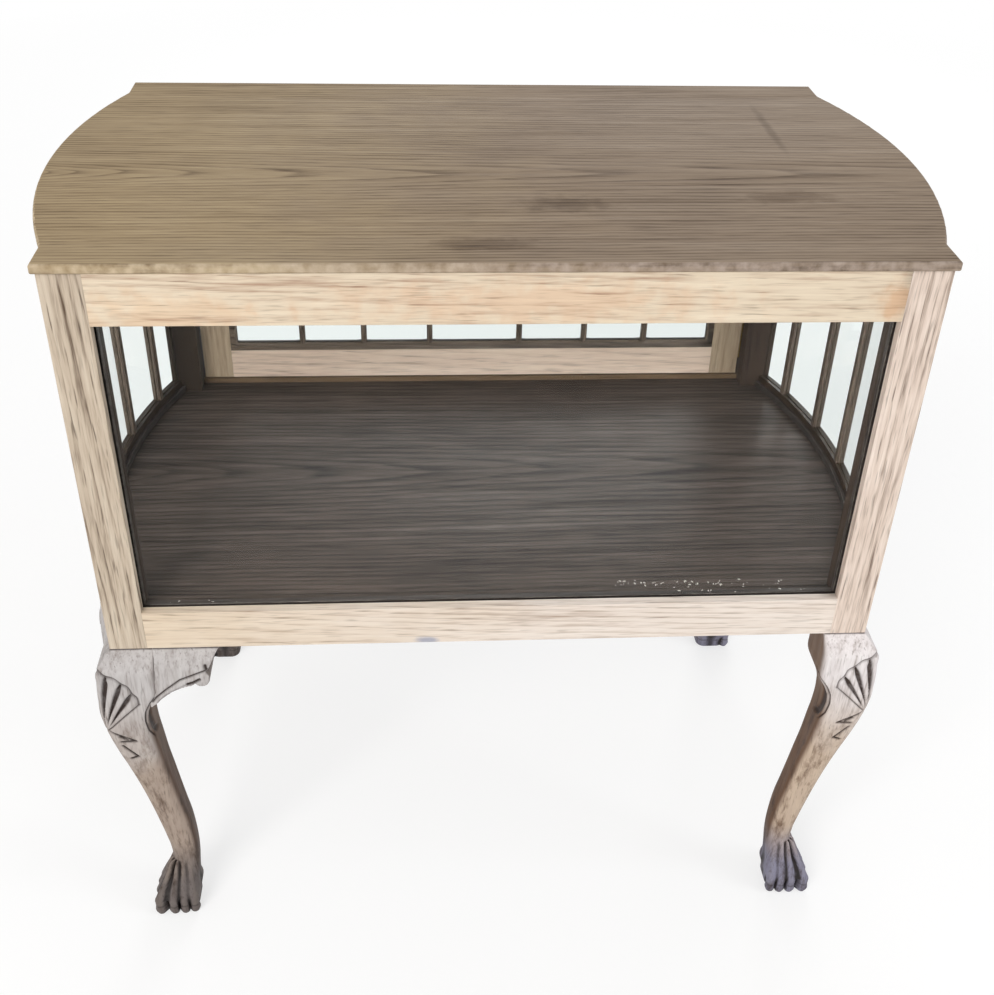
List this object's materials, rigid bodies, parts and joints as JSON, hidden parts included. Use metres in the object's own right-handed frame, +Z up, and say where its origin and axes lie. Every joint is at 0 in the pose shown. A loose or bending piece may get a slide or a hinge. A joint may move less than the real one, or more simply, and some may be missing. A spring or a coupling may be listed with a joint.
{
  "type": "glazed side cabinet",
  "caption": "Glazed side cabinet with bowed glass ends, plain front pane, bevelled rear door with lock and key, and carved cabriole legs with paw feet.",
  "frame": {"origin": "on the floor below the middle of the case, which is the middle of the bounding box's base", "axes": "+X along the long side, +Y from the plain front pane towards the door, +Z up"},
  "size_m": [1.004, 0.6204, 0.973],
  "materials": {
    "top_oak": "bare weathered oak, long grain along X",
    "post_oak": "bare stripped oak, strong upright grain",
    "rail_oak": "bare stripped oak, pale",
    "leg_oak": "bare weathered oak, dark stain left in the carving",
    "floor_oak": "dark stained oak, worn satin varnish",
    "dark_oak": "dark stained oak, satin",
    "door_oak": "stripped oak, light brown",
    "plain_pine": "unfinished pine",
    "clear_glass": "clear polished glass",
    "screw_steel": "dull steel",
    "old_brass": "dulled brass"
  },
  "bodies": {
    "case": {"door_stop": "dark_oak", "floor_battens": "plain_pine", "floor_board": "floor_oak", "floor_screws": "screw_steel", "front_bottom_rail": "rail_oak", "front_left_front_wing": "leg_oak", "front_left_leg": "leg_oak", "front_left_post": "post_oak", "front_left_side_wing": "leg_oak", "front_pane": "clear_glass", "front_pane_beads": "dark_oak", "front_right_leg": "leg_oak", "front_right_post": "post_oak", "front_right_side_wing": "leg_oak", "front_top_rail": "rail_oak", "hinge_pins": "old_brass", "hinge_post_leaves": "old_brass", "hinge_post_screws": "old_brass", "left_end_bars": "dark_oak", "left_end_bottom_rail": "rail_oak", "left_end_panes": "clear_glass", "left_end_top_rail": "rail_oak", "left_floor_bead": "dark_oak", "leg_dowels": "plain_pine", "rear_bottom_rail": "rail_oak", "rear_left_leg": "leg_oak", "rear_left_post": "post_oak", "rear_left_rear_wing": "leg_oak", "rear_left_side_wing": "leg_oak", "rear_right_leg": "leg_oak", "rear_right_post": "post_oak", "rear_right_rear_wing": "leg_oak", "rear_right_side_wing": "leg_oak", "rear_top_rail": "rail_oak", "right_end_bars": "dark_oak", "right_end_bottom_rail": "rail_oak", "right_end_panes": "clear_glass", "right_end_top_rail": "rail_oak", "right_floor_bead": "dark_oak", "strike_plate": "old_brass", "top_blocks": "plain_pine", "top_board": "top_oak", "top_screws": "screw_steel"},
    "door": {"door_bar_strips": "door_oak", "door_bars": "dark_oak", "door_bottom_rail": "door_oak", "door_glass_beads": "door_oak", "door_hinge_stile": "door_oak", "door_lock_stile": "door_oak", "door_moulding": "dark_oak", "door_panes": "clear_glass", "door_top_rail": "door_oak", "hinge_door_leaves": "old_brass", "hinge_door_screws": "old_brass", "lock_case": "screw_steel", "escutcheon": "old_brass", "escutcheon_pins": "old_brass"},
    "key": {"key": "old_brass"},
    "bolt": {"lock_bolt": "old_brass"}
  },
  "joints": [
    {"name": "door_hinge", "type": "hinge", "parent": "case", "child": "door", "pos_m": [0.408, 0.292, 0.72025], "axis": [0, 0, -1], "range_deg": [0, 175]},
    {"name": "key_turn", "type": "hinge", "parent": "door", "child": "key", "pos_m": [-0.392, 0.2875, 0.72025], "axis": [0, -1, 0], "range_deg": [0, 180]},
    {"name": "bolt_slide", "type": "slide", "parent": "door", "child": "bolt", "axis": [-1, 0, 0], "range_m": [0, 0.0065]}
  ],
  "couplings": [
    {"joint": "key_turn", "follows": "bolt_slide", "rad_per_m": 483.3}
  ]
}
